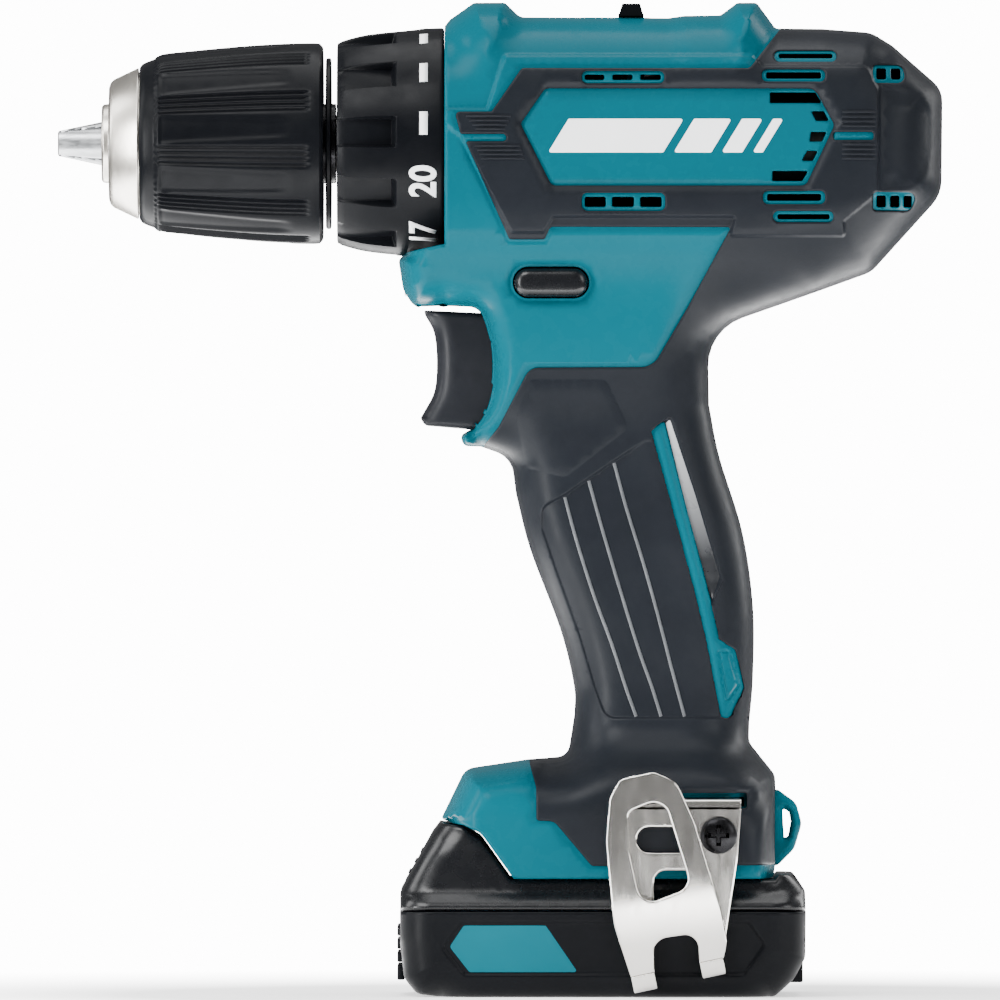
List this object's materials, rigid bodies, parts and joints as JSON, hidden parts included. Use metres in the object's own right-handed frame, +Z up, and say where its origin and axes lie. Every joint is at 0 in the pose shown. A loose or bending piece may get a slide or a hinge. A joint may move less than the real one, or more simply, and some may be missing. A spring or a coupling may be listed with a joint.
{
  "type": "cordless drill driver",
  "caption": "Compact cordless drill driver with keyless chuck, torque ring, two-speed planetary gearbox, belt clip and slide-on battery.",
  "frame": {"origin": "centre of the battery's flat underside, on the split plane of the housing", "axes": "+Z up from the underside; the chuck points to -X; the belt clip is on the -Y side"},
  "size_m": [0.1889, 0.0731, 0.2117],
  "materials": {
    "housing_plastic": "satin moulded teal",
    "soft_overmould": "fine matt grain",
    "black_plastic": "spark-eroded satin",
    "gloss_black": "semi-gloss moulded",
    "satin_nickel": "satin nickel plate",
    "bright_nickel": "bright nickel plate",
    "screw_steel": "turned and zinc plated",
    "black_steel": "black oxide",
    "plated_steel": "drawn and plated",
    "sintered_steel": "oiled powder metal",
    "carbon": "pressed graphite",
    "clear_lens": "polished",
    "cell_wrap": "shrink sleeve",
    "board_green": "solder mask"
  },
  "bodies": {
    "housing": {"left_housing": "housing_plastic", "right_housing": "housing_plastic", "left_overmould": "soft_overmould", "right_overmould": "soft_overmould", "housing_screw_1": "screw_steel", "housing_screw_2": "screw_steel", "housing_screw_3": "screw_steel", "housing_screw_4": "screw_steel", "housing_screw_5": "screw_steel", "belt_clip": "bright_nickel", "belt_clip_screw": "black_steel", "switch_body": "black_plastic", "led_lamp": "clear_lens", "terminal_block": "black_plastic", "motor_can": "plated_steel", "motor_end_cap": "black_plastic", "carbon_brush_1": "carbon", "carbon_brush_2": "carbon", "gear_case": "black_plastic", "gear_case_plate": "plated_steel", "ring_gear_1": "sintered_steel", "ring_gear_3": "sintered_steel", "clutch_spring": "screw_steel", "spindle_bearing": "sintered_steel"},
    "torque_ring": {"torque_ring": "black_plastic"},
    "speed_selector": {"speed_selector": "black_plastic", "ring_gear_2": "sintered_steel"},
    "direction_button": {"direction_button": "gloss_black"},
    "trigger": {"trigger": "black_plastic"},
    "spindle": {"output_spindle": "screw_steel", "chuck_body": "satin_nickel", "chuck_rear_ring": "black_plastic", "chuck_screw": "black_steel"},
    "chuck_sleeve": {"chuck_sleeve": "black_plastic", "jaw_nut": "screw_steel"},
    "chuck_jaw_1": {"chuck_jaw_1": "black_steel"},
    "chuck_jaw_2": {"chuck_jaw_2": "black_steel"},
    "chuck_jaw_3": {"chuck_jaw_3": "black_steel"},
    "planet_3a": {"planet_3a": "sintered_steel"},
    "planet_3b": {"planet_3b": "sintered_steel"},
    "planet_3c": {"planet_3c": "sintered_steel"},
    "carrier_2": {"carrier_2": "sintered_steel"},
    "planet_2a": {"planet_2a": "sintered_steel"},
    "planet_2b": {"planet_2b": "sintered_steel"},
    "planet_2c": {"planet_2c": "sintered_steel"},
    "carrier_1": {"carrier_1": "sintered_steel"},
    "planet_1a": {"planet_1a": "sintered_steel"},
    "planet_1b": {"planet_1b": "sintered_steel"},
    "planet_1c": {"planet_1c": "sintered_steel"},
    "rotor": {"armature": "plated_steel", "cooling_fan": "black_plastic", "pinion": "sintered_steel"},
    "battery": {"battery_lower_case": "black_plastic", "battery_upper_case": "gloss_black", "battery_board": "board_green", "battery_cell_1": "cell_wrap", "battery_cell_2": "cell_wrap", "battery_cell_3": "cell_wrap"},
    "battery_latch": {"battery_latch": "gloss_black"}
  },
  "joints": [
    {"name": "torque_ring_turn", "type": "hinge", "parent": "housing", "child": "torque_ring", "pos_m": [-0.045, 0, 0.1819], "axis": [1, 0, 0], "range_deg": [-300, 0]},
    {"name": "speed_select", "type": "slide", "parent": "housing", "child": "speed_selector", "axis": [1, 0, 0], "range_m": [-0.006, 0]},
    {"name": "direction_push", "type": "slide", "parent": "housing", "child": "direction_button", "axis": [0, 1, 0], "range_m": [-0.003, 0.003]},
    {"name": "trigger_pull", "type": "slide", "parent": "housing", "child": "trigger", "axis": [1, 0, 0], "range_m": [0, 0.007], "stiffness_N_per_m": 300},
    {"name": "spindle_turn", "type": "hinge", "parent": "housing", "child": "spindle", "pos_m": [-0.05, 0, 0.1819], "axis": [1, 0, 0], "continuous": true},
    {"name": "sleeve_turn", "type": "hinge", "parent": "spindle", "child": "chuck_sleeve", "pos_m": [-0.08, 0, 0.1819], "axis": [1, 0, 0], "range_deg": [-3600, 0]},
    {"name": "jaw_1_slide", "type": "slide", "parent": "spindle", "child": "chuck_jaw_1", "axis": [0.9711, -0.2385, 0], "range_m": [0, 0.02]},
    {"name": "jaw_2_slide", "type": "slide", "parent": "spindle", "child": "chuck_jaw_2", "axis": [0.9711, 0.1193, -0.2066], "range_m": [0, 0.02]},
    {"name": "jaw_3_slide", "type": "slide", "parent": "spindle", "child": "chuck_jaw_3", "axis": [0.9711, 0.1193, 0.2066], "range_m": [0, 0.02]},
    {"name": "planet_3a_turn", "type": "hinge", "parent": "spindle", "child": "planet_3a", "pos_m": [-0.0374, 0, 0.1924], "axis": [1, 0, 0], "continuous": true},
    {"name": "planet_3b_turn", "type": "hinge", "parent": "spindle", "child": "planet_3b", "pos_m": [-0.0374, -0.00909, 0.17665], "axis": [1, 0, 0], "continuous": true},
    {"name": "planet_3c_turn", "type": "hinge", "parent": "spindle", "child": "planet_3c", "pos_m": [-0.0374, 0.00909, 0.17665], "axis": [1, 0, 0], "continuous": true},
    {"name": "carrier_2_turn", "type": "hinge", "parent": "housing", "child": "carrier_2", "pos_m": [-0.0288, 0, 0.1819], "axis": [1, 0, 0], "continuous": true},
    {"name": "planet_2a_turn", "type": "hinge", "parent": "carrier_2", "child": "planet_2a", "pos_m": [-0.02365, 0, 0.1924], "axis": [1, 0, 0], "continuous": true},
    {"name": "planet_2b_turn", "type": "hinge", "parent": "carrier_2", "child": "planet_2b", "pos_m": [-0.02365, -0.00909, 0.17665], "axis": [1, 0, 0], "continuous": true},
    {"name": "planet_2c_turn", "type": "hinge", "parent": "carrier_2", "child": "planet_2c", "pos_m": [-0.02365, 0.00909, 0.17665], "axis": [1, 0, 0], "continuous": true},
    {"name": "carrier_1_turn", "type": "hinge", "parent": "housing", "child": "carrier_1", "pos_m": [-0.0179, 0, 0.1819], "axis": [1, 0, 0], "continuous": true},
    {"name": "planet_1a_turn", "type": "hinge", "parent": "carrier_1", "child": "planet_1a", "pos_m": [-0.01315, 0, 0.1924], "axis": [1, 0, 0], "continuous": true},
    {"name": "planet_1b_turn", "type": "hinge", "parent": "carrier_1", "child": "planet_1b", "pos_m": [-0.01315, -0.00909, 0.17665], "axis": [1, 0, 0], "continuous": true},
    {"name": "planet_1c_turn", "type": "hinge", "parent": "carrier_1", "child": "planet_1c", "pos_m": [-0.01315, 0.00909, 0.17665], "axis": [1, 0, 0], "continuous": true},
    {"name": "rotor_turn", "type": "hinge", "parent": "housing", "child": "rotor", "pos_m": [0.03, 0, 0.1819], "axis": [1, 0, 0], "continuous": true},
    {"name": "battery_slide", "type": "slide", "parent": "housing", "child": "battery", "axis": [-1, 0, 0], "range_m": [0, 0.06]},
    {"name": "latch_press", "type": "slide", "parent": "battery", "child": "battery_latch", "axis": [0.8656, 0, -0.5007], "range_m": [0, 0.003], "stiffness_N_per_m": 400}
  ],
  "couplings": [
    {"joint": "jaw_1_slide", "follows": "sleeve_turn", "m_per_rad": -0.000318},
    {"joint": "jaw_2_slide", "follows": "sleeve_turn", "m_per_rad": -0.000318},
    {"joint": "jaw_3_slide", "follows": "sleeve_turn", "m_per_rad": -0.000318},
    {"joint": "carrier_2_turn", "follows": "spindle_turn", "ratio": 3.5},
    {"joint": "carrier_1_turn", "follows": "spindle_turn", "ratio": 12.25},
    {"joint": "rotor_turn", "follows": "spindle_turn", "ratio": 42.875},
    {"joint": "planet_3a_turn", "follows": "spindle_turn", "ratio": -3.3333},
    {"joint": "planet_3b_turn", "follows": "spindle_turn", "ratio": -3.3333},
    {"joint": "planet_3c_turn", "follows": "spindle_turn", "ratio": -3.3333},
    {"joint": "planet_2a_turn", "follows": "spindle_turn", "ratio": -11.667},
    {"joint": "planet_2b_turn", "follows": "spindle_turn", "ratio": -11.667},
    {"joint": "planet_2c_turn", "follows": "spindle_turn", "ratio": -11.667},
    {"joint": "planet_1a_turn", "follows": "spindle_turn", "ratio": -40.833},
    {"joint": "planet_1b_turn", "follows": "spindle_turn", "ratio": -40.833},
    {"joint": "planet_1c_turn", "follows": "spindle_turn", "ratio": -40.833}
  ]
}
